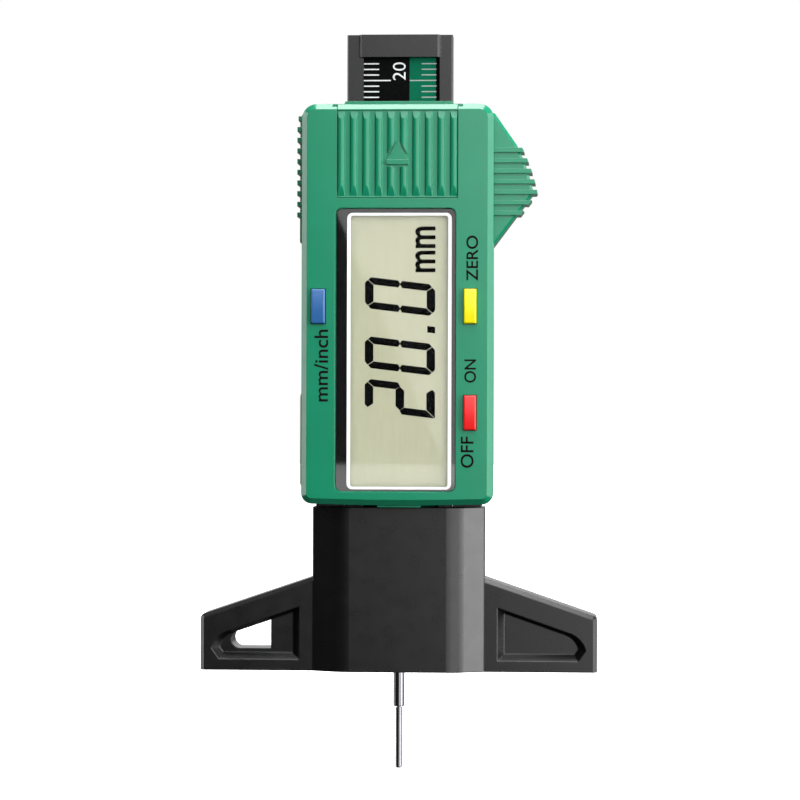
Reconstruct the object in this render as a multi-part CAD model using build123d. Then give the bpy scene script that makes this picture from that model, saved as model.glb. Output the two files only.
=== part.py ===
from build123d import *
import math
import os

# Tyre tread depth gauge: a green electronics housing on a black T-shaped foot, and a beam with a
# stepped steel probe that slides through both.
# Frame: millimetres, +Z up along the beam, the display faces -Y, +X is to the reader's right.
# Origin: centre of the probe hole in the foot's measuring face.

# ---- driving dimensions -------------------------------------------------------------------------
TRAVEL = 25.4                 # full measuring range
PROBE_OUT = 17.6              # how far the probe stands out of the foot as stored

FRONT = -10.0                 # display face of the housing
PARTING = -4.5                # plane where the two shells meet
REAR = 4.5                    # back of the housing and of the foot
SHELL_BOTTOM = 29.8
SHELL_TOP = 100.7
SHELL_HALF = 16.95            # front shell, half width
REAR_HALF = 16.3              # rear shell, half width
SHELL_CHAMFER = 1.0
SHELL_TOP_RADIUS = 2.6        # corners of the front shell, seen from the front
SHELL_BOTTOM_RADIUS = 1.9
CAVITY_HALF = 15.2
CAVITY_FRONT = -8.3
CAVITY_BOTTOM = 31.5
CAVITY_TOP = 99.0

GRIP_TIP = 23.95              # finger grip: reach of its point
GRIP_RIBS = 7
GRIP_RIB_REACH = 0.7          # its ribs stand this far proud of its edge
GRIP_TOP_RIB = 93.0
GRIP_RIB_PITCH = 1.87
STRIP_REACH = -17.8           # grip strip on the left flank, between its ribs
STRIP_RIB_REACH = -18.3
STRIP_RIBS = 10
STRIP_TOP_RIB = 98.7
STRIP_RIB_PITCH = 1.91
SWELL_REACH = -17.6           # smooth swelling low on the left flank

BEAM_HALF = 9.45
BEAM_FRONT = -2.4
BEAM_BACK = 2.2
BEAM_TOP = 113.7
CROSSBAR_BOTTOM = 109.7
CROSSBAR_PROUD = 0.7
LABEL_HALF = 6.55
LABEL_BOTTOM = 27.0
RECESS_RIGHT = 7.1            # the beam's recess is a little wider than the label on the right
SLIDE_GAP = 0.15              # clearance round the beam, on each side

STOP_SPARE = 0.35             # the crossbar meets its stop this far past the end of the range
LIP_TOP = CROSSBAR_BOTTOM - (TRAVEL - PROBE_OUT) - STOP_SPARE
LIP_HALF = 9.9

FOOT_HALF = 35.5
FOOT_TOP = 29.3
WING_FRONT = -3.5
WING_TIP_TOP = 9.85
WING_ROOT_TOP = 16.75
WING_TIP_RADIUS = 0.9         # upper outer corners
WING_CHAMFER = 0.7            # along the upper front edges of the wings
BLOCK_HALF = 15.3
BLOCK_FRONT = -6.0
BLOCK_FLAT_HALF = 10.3
BLOCK_EDGE_RADIUS = 7.0       # soft change from the block's flat to its bevels
FOOT_FLOOR = 4.0
BEAM_BOTTOM = FOOT_FLOOR + 0.2 + (TRAVEL - PROBE_OUT)
TENON_TOP = 36.2              # the foot's two lugs reach up to here, inside the rear shell
LUG_HALF = 14.8
LUG_FRONT = -2.5
LUG_BACK = 2.4
POCKET_DEPTH = 1.45           # of the pockets in the wings

LENS_LEFT = -10.9
LENS_RIGHT = 10.35
LENS_BOTTOM = 32.25
LENS_TOP = 82.25
LENS_THICK = 0.95
LENS_RADIUS = 1.15
LENS_GAP = 0.05               # round the lens in its seat
OPENING_LEFT = -8.6           # window through the front shell, behind the lens
OPENING_RIGHT = 9.75
OPENING_BOTTOM = 33.0
OPENING_TOP = 81.5

LCD_LEFT = -9.4
LCD_RIGHT = 10.55
LCD_BOTTOM = 32.6
LCD_TOP = 82.0
LCD_FRONT = -8.2
LCD_THICK = 1.8               # both glass plates together
LCD_LEDGE = 2.2               # the front plate reaches this far past the rear one, for the contacts

BOARD_FRONT = -3.4
BOARD_BACK = -2.6
BOARD_HALF = 14.9
BOARD_BOTTOM = 35.6
BOARD_TOP = 84.0

COVER_HALF = 10.6
COVER_BOTTOM = 84.1
COVER_GAP = 0.1
COVER_BACK = -9.05
TONGUE = 0.8                  # the cover's tongues reach this far into the housing's grooves
TONGUE_THICK = 0.38
COVER_FACE = -9.8             # valley level between the ribs
RIB_CREST = -10.25
RIB_COUNT = 10
RIB_WIDTH = 1.32
RIB_FLANK = 0.2               # width of a rib's steep side
RIB_CROWN = 0.09              # rise of a rib's crown above its steep sides

CELL_RADIUS = 5.8             # standard 11.6 x 5.4 mm button cell
CELL_HEIGHT = 5.4
CELL_Z = 92.4
CELL_BACK = -3.6
WELL_HALF = 11.9              # housing walls round the cell
WELL_REAR = -2.7
LEAF_Z = 86.25                # underside of the upright battery contact
LEAF_THICK = 0.25
STRIP_THICK = 0.2             # sheet of the flat battery contact and of both tails
CONTACT_OVERLAP = 0.95        # the tails reach this far over the board

BUTTON_FACE = -11.0
BUTTON_CROWN = 0.3            # the cap's face bows out by this much between its ends
BUTTON_HEIGHT = 6.1
BUTTON_TRAVEL = 0.6
PLUNGER_TOP = -5.9
PLUNGER_BOTTOM = -4.6
SWITCH_X = 13.3
ZERO_Z = 64.95
MODE_Z = 64.9
POWER_Z = 46.2

SHANK_RADIUS = 1.0
SHANK_END = -6.54
PIN_RADIUS = 0.6
PIN_TANG_RADIUS = 0.3         # thinner end, pressed into the shank
PIN_SHOULDER = SHANK_END - 0.16

FIXING_X = 13.3               # screws stand in two lines, left and right of the beam
SHELL_SCREW_Z = (33.5, 94.0)
BOARD_SCREW_Z = (37.8, 81.8)
SHELL_SCREW = 0.8             # thread radii
BOARD_SCREW = 0.6
SHELL_SCREW_TIP = -6.4
BOARD_SCREW_TIP = -5.9
SHELL_HEAD_SEAT = 2.6
BOARD_HEAD_BACK = -1.8
SCREW_CLEARANCE = 1.1         # radius of the holes that the shell screws pass through
SHELL_BOSS = 1.6              # radii of the posts that take the screws
BOARD_BOSS = 1.5
BUSH_RADIUS = 2.2
SET_SCREW_Z = 18.0
SET_SCREW_RADIUS = 0.8
SHANK_TOP = 24.0


# ---- helpers ------------------------------------------------------------------------------------
def block(x0, x1, y0, y1, z0, z1):
    """A box given by its limits."""
    centre = ((x0 + x1) / 2, (y0 + y1) / 2, (z0 + z1) / 2)
    return Pos(*centre) * Box(x1 - x0, y1 - y0, z1 - z0)


def rod_y(x, z, radius, y0, y1):
    """A round bar along Y."""
    return Pos(x, (y0 + y1) / 2, z) * Rot(90, 0, 0) * Cylinder(radius, y1 - y0)


def rod_z(x, y, radius, z0, z1):
    """A round bar along Z."""
    return Pos(x, y, (z0 + z1) / 2) * Cylinder(radius, z1 - z0)


def upright(y):
    """The plane at depth y whose local axes are X and Z, and whose normal faces the reader."""
    return Plane(origin=(0, y, 0), x_dir=(1, 0, 0), z_dir=(0, -1, 0))


def slab(face, y_front, y_back, taper=0):
    """A flat outline in X and Z, made solid between two depths."""
    return extrude(upright(y_back) * face, y_back - y_front, taper=taper)


def rounded(x0, x1, z0, z1, radius):
    """A rectangle in X and Z with round corners."""
    return Pos((x0 + x1) / 2, (z0 + z1) / 2) * RectangleRounded(x1 - x0, z1 - z0, radius)


def mirror_x(solid):
    return mirror(solid, about=Plane.YZ)


def both_sides(x, z_list):
    """Every fixing point, left and right."""
    return [(side * x, z) for side in (-1, 1) for z in z_list]


def write(name, solid):
    solid.label = name
    export_step(solid, f"parts/{name}.step")


# ---- housing shells -----------------------------------------------------------------------------
def shell_outline(half, bottom, bow, top_radius, bottom_radius):
    """Upright rounded rectangle whose lower edge bows slightly downwards."""
    corner = bottom + bow
    sides = Polyline((half, corner), (half, SHELL_TOP), (-half, SHELL_TOP), (-half, corner))
    lower_edge = ThreePointArc((-half, corner), (0, bottom), (half, corner))
    face = make_face(sides.edges() + lower_edge.edges())
    face = fillet(face.vertices().group_by(Axis.Y)[-1], top_radius)
    return fillet(face.vertices().group_by(Axis.Y)[0], bottom_radius)


def front_outer():
    """The front shell's outer form, still solid."""
    outline = shell_outline(SHELL_HALF, SHELL_BOTTOM, 0.3, SHELL_TOP_RADIUS, SHELL_BOTTOM_RADIUS)
    body = slab(outline, FRONT, PARTING)
    rim = body.faces().sort_by(Axis.Y)[0].edges()
    return chamfer(rim, SHELL_CHAMFER)


def exit_lip(y_front, y_back):
    """One half of the raised collar where the beam comes out of the top."""
    outline = Polygon((-LIP_HALF, CAVITY_TOP + 0.3), (LIP_HALF, CAVITY_TOP + 0.3),
                      (LIP_HALF, SHELL_TOP), (LIP_HALF - 0.4, LIP_TOP),
                      (0.4 - LIP_HALF, LIP_TOP), (-LIP_HALF, SHELL_TOP), align=None)
    return slab(outline, y_front, y_back)


def battery_well():
    """Walls and floor round the cell, behind the cover."""
    return block(-WELL_HALF, WELL_HALF, COVER_BACK - 0.15, WELL_REAR, COVER_BOTTOM + 0.3,
                 CAVITY_TOP + 0.2)


def contact_slots():
    """Room beside and below the cell for the two contacts."""
    rear = CELL_BACK + STRIP_THICK
    seat = block(-3.8, 3.8, COVER_BACK - 0.15, rear, LEAF_Z - 0.1, LEAF_Z + 2.75)
    tail_left = block(-4.6, -1.4, CELL_BACK - 0.8, rear, BOARD_TOP, LEAF_Z + 2.75)
    return seat + tail_left + mirror_x(tail_left)


def front_shell():
    shell = front_outer()
    shell -= block(-CAVITY_HALF, CAVITY_HALF, CAVITY_FRONT, PARTING + 1, CAVITY_BOTTOM, CAVITY_TOP)
    shell += battery_well()
    for x, z in both_sides(FIXING_X, SHELL_SCREW_Z):
        shell += rod_y(x, z, SHELL_BOSS, CAVITY_FRONT - 0.2, BOARD_BACK + 0.05)
    for x, z in both_sides(FIXING_X, BOARD_SCREW_Z):
        shell += rod_y(x, z, BOARD_BOSS, CAVITY_FRONT - 0.2, BOARD_FRONT)
    shell += exit_lip(-5.5, BEAM_FRONT - 0.2)
    # small catch under the lower edge
    shell += block(-3.5, 4.2, -8.6, -5.0, SHELL_BOTTOM - 0.35, SHELL_BOTTOM + 0.6)
    # battery opening, open at the top so that the cover slides out
    half = COVER_HALF + COVER_GAP
    low = COVER_BOTTOM - COVER_GAP
    shell -= block(-half, half, FRONT - 1, COVER_BACK + 0.05, low, LIP_TOP)
    groove = half + TONGUE
    shell -= block(-groove, groove, COVER_BACK - TONGUE_THICK - 0.07, COVER_BACK + 0.05, low, LIP_TOP)
    shell -= rod_y(0, CELL_Z, CELL_RADIUS + 0.15, FRONT, CELL_BACK + 0.2)
    shell -= contact_slots()
    # display opening: a shallow seat for the lens, then the window
    seat = rounded(LENS_LEFT - LENS_GAP, LENS_RIGHT + LENS_GAP, LENS_BOTTOM - LENS_GAP,
                   LENS_TOP + LENS_GAP, LENS_RADIUS + LENS_GAP)
    shell -= slab(seat, FRONT - 1, FRONT + LENS_THICK)
    shell -= block(OPENING_LEFT, OPENING_RIGHT, FRONT, CAVITY_FRONT + 0.1, OPENING_BOTTOM,
                   OPENING_TOP)
    for x, z, width in button_places():
        shell -= block(x - width / 2 - 0.1, x + width / 2 + 0.1, FRONT - 1, CAVITY_FRONT + 0.1,
                       z - BUTTON_HEIGHT / 2 - 0.1, z + BUTTON_HEIGHT / 2 + 0.1)
    for x, z in both_sides(FIXING_X, SHELL_SCREW_Z):
        shell -= rod_y(x, z, SHELL_SCREW, SHELL_SCREW_TIP - 0.2, -2.0)
    for x, z in both_sides(FIXING_X, BOARD_SCREW_Z):
        shell -= rod_y(x, z, BOARD_SCREW, BOARD_SCREW_TIP - 0.2, -2.0)
    return shell


def grip_outline(reach):
    """The triangular finger grip on the right, with a convex upper flank."""
    root = REAR_HALF - 1.0
    tip = (GRIP_TIP + reach, 85.4)
    shoulder = (20.9 + reach, 94.0)
    lines = Polyline(tip, (16.7 + reach, 75.7), (root, 74.8), (root, 99.9), (17.0, 99.6), shoulder)
    flank = ThreePointArc(shoulder, (22.65 + reach, 90.0), tip)
    return make_face(lines.edges() + flank.edges())


def finger_grip():
    """Triangular grip with seven horizontal ribs that stand proud of its faces and its edge."""
    body = slab(grip_outline(0), -3.2, 3.2)
    rim = body.faces().sort_by(Axis.Y)[0].outer_wire().edges().filter_by(
        lambda edge: edge.center().X > REAR_HALF + 0.3)
    body = chamfer(rim, 0.45)
    ribs = slab(grip_outline(GRIP_RIB_REACH), -3.65, 3.6)
    for k in range(GRIP_RIBS):
        rib_z = GRIP_TOP_RIB - GRIP_RIB_PITCH * k
        body += ribs & block(REAR_HALF - 1.0, 30, -5, 5, rib_z - 0.4, rib_z + 0.4)
    return body


def side_strip():
    """Ribbed strip on the left flank that fades out into the housing."""
    root = 1.0 - REAR_HALF
    outline = Polygon((root, 99.6), (STRIP_REACH + 0.5, 99.6), (STRIP_REACH, 98.8),
                      (STRIP_REACH, 76.6), (STRIP_REACH + 0.9, 75.7), (root, 75.4), align=None)
    strip = slab(outline, -3.0, 3.0)
    for k in range(STRIP_RIBS):
        rib_z = STRIP_TOP_RIB - STRIP_RIB_PITCH * k
        reach = STRIP_RIB_REACH if k > 0 else STRIP_RIB_REACH + 0.2
        strip += block(reach, root, -3.2, 3.2, rib_z - 0.42, rib_z + 0.42)
    return strip


def lower_swell():
    """Smooth swelling low on the left flank."""
    root = 1.0 - REAR_HALF
    outline = Polygon((root, 52.0), (-16.2, 51.4), (SWELL_REACH, 49.3), (SWELL_REACH, 33.2),
                      (-16.2, 31.2), (root, 31.0), align=None)
    ends = [vertex for vertex in outline.vertices() if vertex.X < SWELL_REACH + 0.1]
    return slab(fillet(ends, 1.4), -3.6, 3.0)


def rear_shell():
    bottom = FOOT_TOP + 0.25
    body = slab(shell_outline(REAR_HALF, bottom + 0.2, 0.1, 2.4, 2.0), PARTING, REAR)
    body = chamfer(body.faces().sort_by(Axis.Y)[-1].edges(), 0.8)
    body += finger_grip() + side_strip() + lower_swell()
    body += exit_lip(BEAM_BACK + SLIDE_GAP, 4.2)
    # room for the board and the display holder, and the opening above it for the front shell's lip
    body -= block(-CAVITY_HALF + 0.1, CAVITY_HALF - 0.1, PARTING - 1, BOARD_BACK + 0.05,
                  CAVITY_BOTTOM - 1.0, CAVITY_TOP + 0.3)
    body -= block(-LIP_HALF - 0.1, LIP_HALF + 0.1, PARTING - 1, BEAM_FRONT - SLIDE_GAP,
                  CAVITY_TOP, LIP_TOP + 1)
    # beam channel, open at both ends
    channel = BEAM_HALF + SLIDE_GAP
    body -= block(-channel, channel, BOARD_BACK - 0.1, BEAM_BACK + SLIDE_GAP,
                  SHELL_BOTTOM - 5, LIP_TOP + 5)
    # sockets for the foot's two lugs, open below
    for side in (-1, 1):
        inner, outer = side * (BEAM_HALF - 0.45), side * (LUG_HALF + 0.1)
        body -= block(min(inner, outer), max(inner, outer), LUG_FRONT - 0.2, LUG_BACK + 0.1,
                      SHELL_BOTTOM - 5, TENON_TOP + 0.1)
    # coring pockets behind the beam, with the leaf spring in the third one
    for z0, z1 in ((40.0, 48.0), (50.0, 58.0), (60.0, 78.0), (80.0, 88.0), (90.0, 97.0)):
        body -= block(-7.5, 7.5, BEAM_BACK, 3.5, z0, z1)
    for x, z in both_sides(FIXING_X, SHELL_SCREW_Z):
        body -= rod_y(x, z, SCREW_CLEARANCE, PARTING, REAR)
        body -= rod_y(x, z, 2.1, SHELL_HEAD_SEAT, REAR + 1)
    for x, z in both_sides(FIXING_X, BOARD_SCREW_Z):
        body -= rod_y(x, z, BOARD_BOSS, BOARD_FRONT + 0.4, BOARD_HEAD_BACK + 0.2)
    return body


# ---- display ------------------------------------------------------------------------------------
def display_lens():
    outline = rounded(LENS_LEFT, LENS_RIGHT, LENS_BOTTOM, LENS_TOP, LENS_RADIUS)
    return slab(outline, FRONT, FRONT + LENS_THICK)


def lcd_panel():
    """Two glass plates: the front one is a little longer and carries the contact row."""
    middle = LCD_FRONT + LCD_THICK / 2
    front_glass = block(LCD_LEFT, LCD_RIGHT, LCD_FRONT, middle, LCD_BOTTOM, LCD_TOP)
    rear_glass = block(LCD_LEFT + LCD_LEDGE, LCD_RIGHT, middle, LCD_FRONT + LCD_THICK,
                       LCD_BOTTOM, LCD_TOP)
    return front_glass + rear_glass


def lcd_holder():
    """Frame that holds the panel against the front shell and rests on the board."""
    frame = block(-10.4, 11.6, LCD_FRONT, BOARD_FRONT - 0.05, 31.75, 82.9)
    frame -= block(LCD_LEFT - 0.05, LCD_RIGHT + 0.05, LCD_FRONT - 1, LCD_FRONT + LCD_THICK,
                   LCD_BOTTOM - 0.05, LCD_TOP + 0.05)
    frame -= block(-6.9, 9.5, LCD_FRONT, 0, 33.6, 81.0)
    frame -= block(-9.35, -7.45, LCD_FRONT, 0, 37.9, 78.1)
    return frame


def contact_rubber():
    """Striped rubber bar that joins the panel's contact row to the board."""
    return block(-9.3, -7.5, LCD_FRONT + LCD_THICK / 2, BOARD_FRONT, 38.0, 78.0)


# ---- electronics --------------------------------------------------------------------------------
def circuit_board():
    board = block(-BOARD_HALF, BOARD_HALF, BOARD_FRONT, BOARD_BACK, BOARD_BOTTOM, BOARD_TOP)
    for x, z in both_sides(FIXING_X, BOARD_SCREW_Z):
        board -= rod_y(x, z, 0.75, -5, 0)
    return board


def controller_chip():
    """Round potting drop over the bare chip."""
    drop = rod_y(1.0, 56.0, 3.2, BOARD_FRONT - 1.2, BOARD_FRONT)
    return fillet(drop.faces().sort_by(Axis.Y)[0].edges(), 0.9)


def button_places():
    """Centre and width of each button's cap: unit, zero, power."""
    return ((-13.9, MODE_Z, 2.5), (12.9, ZERO_Z, 2.25), (12.9, POWER_Z, 2.25))


def switch_places():
    return ((-SWITCH_X, MODE_Z), (SWITCH_X, ZERO_Z), (SWITCH_X, POWER_Z))


def key_switches():
    """Three switch bodies on the board, each with a bore for its plunger."""
    group = []
    for x, z in switch_places():
        body = block(x - 1.4, x + 1.4, -5.2, BOARD_FRONT, z - 2.3, z + 2.3)
        group.append(body - rod_y(x, z, 0.9, -6, PLUNGER_BOTTOM + BUTTON_TRAVEL + 0.2))
    return Compound(group)


def plunger(index):
    """The switch plunger under one button."""
    x, z = switch_places()[index]
    return rod_y(x, z, 0.82, PLUNGER_TOP, PLUNGER_BOTTOM)


def button(index, flange_left, flange_right):
    """A crowned cap with round edges, a flange that keeps it in, and a stem to the plunger."""
    x, z, width = button_places()[index]
    half = BUTTON_HEIGHT / 2
    root = CAVITY_FRONT + 0.2
    end = BUTTON_FACE + BUTTON_CROWN
    lines = Polyline((end, z + half), (root, z + half), (root, z - half), (end, z - half))
    crown = ThreePointArc((end, z - half), (BUTTON_FACE, z), (end, z + half))
    side = Plane(origin=(x - width / 2, 0, 0), x_dir=(0, 1, 0), z_dir=(1, 0, 0))
    cap = extrude(side * make_face(lines.edges() + crown.edges()), width)
    cap = fillet(cap.faces().sort_by(Axis.Y)[0].edges(), 0.3)
    flange = block(flange_left, flange_right, CAVITY_FRONT + 0.1, -7.4, z - half - 0.8, z + half + 0.8)
    stem_x = switch_places()[index][0]
    stem = block(stem_x - 0.8, stem_x + 0.8, -7.5, PLUNGER_TOP, z - 1.5, z + 1.5)
    return cap + flange + stem


# ---- battery ------------------------------------------------------------------------------------
def button_cell():
    """A can with a narrower cap on its rear, negative side."""
    can = rod_y(0, CELL_Z, CELL_RADIUS, CELL_BACK - CELL_HEIGHT, CELL_BACK - 0.6)
    can = fillet(can.faces().sort_by(Axis.Y)[0].edges(), 0.4)
    return can + rod_y(0, CELL_Z, CELL_RADIUS - 0.9, CELL_BACK - 0.7, CELL_BACK)


def battery_contact_negative():
    """Flat strip under the cell that ends on the board."""
    rear = CELL_BACK + STRIP_THICK
    tail = block(-4.4, -1.6, CELL_BACK, rear, BOARD_TOP - CONTACT_OVERLAP, CELL_Z)
    return tail + rod_y(-1.5, CELL_Z, 1.9, CELL_BACK, rear)


def battery_contact_positive():
    """Upright leaf against the side of the cell, with a tail that ends on the board."""
    rear = CELL_BACK + STRIP_THICK
    top = LEAF_Z + LEAF_THICK
    leaf = block(-3.6, 3.6, -8.6, -4.4, LEAF_Z, top)
    riser = block(1.6, 3.6, -4.5, rear, LEAF_Z, top)
    tail = block(1.6, 4.4, CELL_BACK, rear, BOARD_TOP - CONTACT_OVERLAP, top)
    return leaf + riser + tail


def rib_profile():
    """All the cover's ribs, drawn from above: steep sides and a slightly crowned top."""
    pitch = (2 * COVER_HALF - RIB_WIDTH) / (RIB_COUNT - 1)
    shoulder = RIB_CREST + RIB_CROWN
    root = COVER_FACE + 0.2
    ribs = Sketch()
    for k in range(RIB_COUNT):
        left = -COVER_HALF + pitch * k
        right = left + RIB_WIDTH
        crown = ThreePointArc((left + RIB_FLANK, shoulder), (left + RIB_WIDTH / 2, RIB_CREST),
                              (right - RIB_FLANK, shoulder))
        base = Polyline((right - RIB_FLANK, shoulder), (right, COVER_FACE), (right, root),
                        (left, root), (left, COVER_FACE), (left + RIB_FLANK, shoulder))
        ribs += make_face(crown.edges() + base.edges())
    return ribs


def rib_envelope():
    """Side view of a rib: it rises steeply at its upper end and slowly at its lower end."""
    base = COVER_FACE + 0.3
    lines = Polyline((RIB_CREST - 0.05, 87.0), (RIB_CREST - 0.05, 97.9), (COVER_FACE, 99.3),
                     (base, 99.3), (base, 84.4), (COVER_FACE, 84.4))
    lower_end = ThreePointArc((COVER_FACE, 84.4), (RIB_CREST + 0.12, 85.5),
                              (RIB_CREST - 0.05, 87.0))
    face = make_face(lines.edges() + lower_end.edges())
    side = Plane(origin=(-COVER_HALF - 1, 0, 0), x_dir=(0, 1, 0), z_dir=(1, 0, 0))
    return extrude(side * face, 2 * COVER_HALF + 2)


def arrow(spread):
    """Arrow head over a bar, pointing the way that the cover slides off."""
    head = Polygon((-1.95 - spread, 90.75), (1.95 + spread, 90.75), (0, 94.1 + 1.6 * spread),
                   align=None)
    bar = Polygon((-1.95 - spread, 89.95 - spread), (1.95 + spread, 89.95 - spread),
                  (1.95 + spread, 90.8), (-1.95 - spread, 90.8), align=None)
    return head, bar


def battery_cover():
    lid_box = block(-COVER_HALF, COVER_HALF, FRONT, COVER_BACK, COVER_BOTTOM, SHELL_TOP)
    lid = front_outer() & lid_box
    lid -= block(-COVER_HALF + 0.001, COVER_HALF - 0.001, FRONT - 1, COVER_FACE, 84.3, 99.5)
    ribs = extrude(Pos(0, 0, 84.3) * rib_profile(), 15.1) & rib_envelope()
    head_room, bar_room = arrow(0.42)
    ribs -= slab(head_room, -11, -9) + slab(bar_room, -11, -9)
    head, bar = arrow(0)
    lid += ribs
    lid += slab(head, COVER_FACE - 0.22, COVER_FACE + 0.1)
    lid += slab(bar, COVER_FACE - 0.4, COVER_FACE + 0.1)
    tongues = block(-COVER_HALF - TONGUE, COVER_HALF + TONGUE, COVER_BACK - TONGUE_THICK,
                    COVER_BACK, COVER_BOTTOM, SHELL_TOP - 1.2)
    return lid + tongues


# ---- beam and probe -----------------------------------------------------------------------------
def beam():
    """Plastic rail with a recessed front for the scale and a raised crossbar as end stop."""
    rail = block(-BEAM_HALF, BEAM_HALF, BEAM_FRONT, BEAM_BACK, BEAM_BOTTOM, BEAM_TOP)
    rail = chamfer(rail.edges().filter_by(Axis.Z), 0.25)
    rail -= block(-LABEL_HALF, RECESS_RIGHT, BEAM_FRONT - 1, -1.2, LABEL_BOTTOM, CROSSBAR_BOTTOM)
    bar_side = Plane(origin=(0, 0, CROSSBAR_BOTTOM), x_dir=(1, 0, 0), z_dir=(0, 0, 1))
    bar_front = BEAM_FRONT - CROSSBAR_PROUD
    bar = Polygon((-7.45, BEAM_FRONT + 0.1), (-6.75, bar_front), (6.75, bar_front),
                  (7.45, BEAM_FRONT + 0.1), align=None)
    rail += extrude(bar_side * bar, BEAM_TOP - CROSSBAR_BOTTOM)
    rail -= rod_z(0, 0, SHANK_RADIUS, BEAM_BOTTOM - 1, SHANK_TOP)
    return rail - rod_y(0, SET_SCREW_Z, SET_SCREW_RADIUS, 0, BEAM_BACK + 1)


def stator_board():
    """Grid board of the capacitive sensor, glued in the beam's recess."""
    return block(-LABEL_HALF + 0.05, LABEL_HALF - 0.05, -1.8, -1.2, LABEL_BOTTOM + 0.1,
                 CROSSBAR_BOTTOM - 0.1)


def scale_label():
    return block(-LABEL_HALF + 0.02, LABEL_HALF - 0.02, -1.92, -1.8, LABEL_BOTTOM + 0.05,
                 CROSSBAR_BOTTOM - 0.05)


def probe_shank():
    shank = rod_z(0, 0, SHANK_RADIUS, SHANK_END, SHANK_TOP)
    shank = chamfer(shank.faces().sort_by(Axis.Z)[0].edges(), 0.15)
    return shank - rod_z(0, 0, PIN_TANG_RADIUS, SHANK_END - 1, 1.5)


def probe_pin():
    pin = rod_z(0, 0, PIN_RADIUS, -PROBE_OUT, PIN_SHOULDER)
    pin = chamfer(pin.faces().sort_by(Axis.Z)[0].edges(), 0.2)
    return pin + rod_z(0, 0, PIN_TANG_RADIUS, PIN_SHOULDER - 0.5, 1.4)


def hex_prism_y(x, z, across_flats, y0, y1):
    hexagon = Pos(x, z) * RegularPolygon(across_flats / math.sqrt(3), 6)
    return slab(hexagon, y0, y1)


def probe_set_screw():
    """Headless screw in the back of the beam that presses on the shank."""
    screw = rod_y(0, SET_SCREW_Z, SET_SCREW_RADIUS, SHANK_RADIUS, BEAM_BACK - 0.1)
    return screw - hex_prism_y(0, SET_SCREW_Z, 0.9, 1.4, 3)


# ---- foot ---------------------------------------------------------------------------------------
def pocket_outline(heel, root, slope_end, tip, toe):
    """Outline of a wing's pocket: four straight sides and a round outer end."""
    sides = Polyline(heel, (root[0], heel[1]), root, slope_end)
    outer_end = ThreePointArc(slope_end, tip, toe)
    return make_face(sides.edges() + outer_end.edges() + Line(toe, heel).edges())


def wing_pocket():
    """Shallow pocket in a wing's front, whose walls slope inwards, the upper one most steeply."""
    rim = pocket_outline((32.1, 1.95), (17.7, 11.45), (30.2, 7.1), (32.6, 5.6), (33.5, 3.9))
    floor = pocket_outline((31.5, 3.13), (18.9, 10.4), (30.0, 6.53), (31.37, 5.53), (32.12, 4.0))
    return loft([upright(WING_FRONT) * rim, upright(WING_FRONT + POCKET_DEPTH) * floor], ruled=True)


def hanging_hole():
    """Wedge-shaped hole through the left wing, round at its outer end."""
    lines = Polyline((28.6, 3.85), (22.9, 3.85), (22.9, 8.95), (28.6, 7.0))
    tip = ThreePointArc((28.6, 7.0), (30.0, 5.4), (28.6, 3.85))
    return mirror_x(slab(make_face(lines.edges() + tip.edges()), WING_FRONT, REAR + 1))


def foot_body():
    """T-shaped foot: two wings, a bevelled block that the beam runs in, and two fixing lugs."""
    wing_line = Polygon((-FOOT_HALF, 0), (FOOT_HALF, 0), (FOOT_HALF, WING_TIP_TOP),
                        (BLOCK_HALF - 1, WING_ROOT_TOP + 0.35), (1 - BLOCK_HALF, WING_ROOT_TOP + 0.35),
                        (-FOOT_HALF, WING_TIP_TOP), align=None)
    tips = [v for v in wing_line.vertices() if abs(v.X) > FOOT_HALF - 1 and v.Y > 5]
    wing_line = fillet(tips, WING_TIP_RADIUS)
    wings = slab(wing_line, WING_FRONT, REAR)
    front_edges = wings.faces().sort_by(Axis.Y)[0].edges()
    upper_rim = [edge for edge in front_edges if edge.center().Z > WING_TIP_TOP - 0.2]
    foot = chamfer(upper_rim, WING_CHAMFER)
    section = Polygon((-BLOCK_HALF, WING_FRONT), (-BLOCK_FLAT_HALF, BLOCK_FRONT),
                      (BLOCK_FLAT_HALF, BLOCK_FRONT), (BLOCK_HALF, WING_FRONT),
                      (BLOCK_HALF, REAR), (-BLOCK_HALF, REAR), align=None)
    section = fillet([v for v in section.vertices() if v.Y < BLOCK_FRONT + 0.1],
                     BLOCK_EDGE_RADIUS)
    foot += extrude(section, FOOT_TOP)
    lugs = block(-LUG_HALF, LUG_HALF, LUG_FRONT, LUG_BACK, FOOT_TOP - 0.2, TENON_TOP)
    foot += lugs
    channel = BEAM_HALF + SLIDE_GAP + 0.05
    foot -= block(-channel, channel, BEAM_FRONT - 0.25, BEAM_BACK + 0.25, FOOT_FLOOR, TENON_TOP + 1)
    foot -= block(-7.7, 7.7, BEAM_FRONT - 1.0, BEAM_FRONT, FOOT_TOP - 6, TENON_TOP + 1)
    foot -= rod_z(0, 0, BUSH_RADIUS, -1, FOOT_FLOOR + 1)
    for x, z in both_sides(FIXING_X, SHELL_SCREW_Z[:1]):
        foot -= rod_y(x, z, SCREW_CLEARANCE, -5, 5)
    right_pocket = wing_pocket()
    foot -= right_pocket
    foot -= mirror_x(right_pocket)
    return foot - hanging_hole()


def probe_bush():
    """Pressed guide for the probe in the foot's floor, a little inside the measuring face."""
    bush = rod_z(0, 0, BUSH_RADIUS, 0.2, FOOT_FLOOR)
    bush -= rod_z(0, 0, SHANK_RADIUS + 0.08, -1, FOOT_FLOOR + 1)
    mouth = bush.faces().sort_by(Axis.Z)[0].edges().sort_by(SortBy.LENGTH)[0]
    return chamfer(mouth, 0.3)


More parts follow.
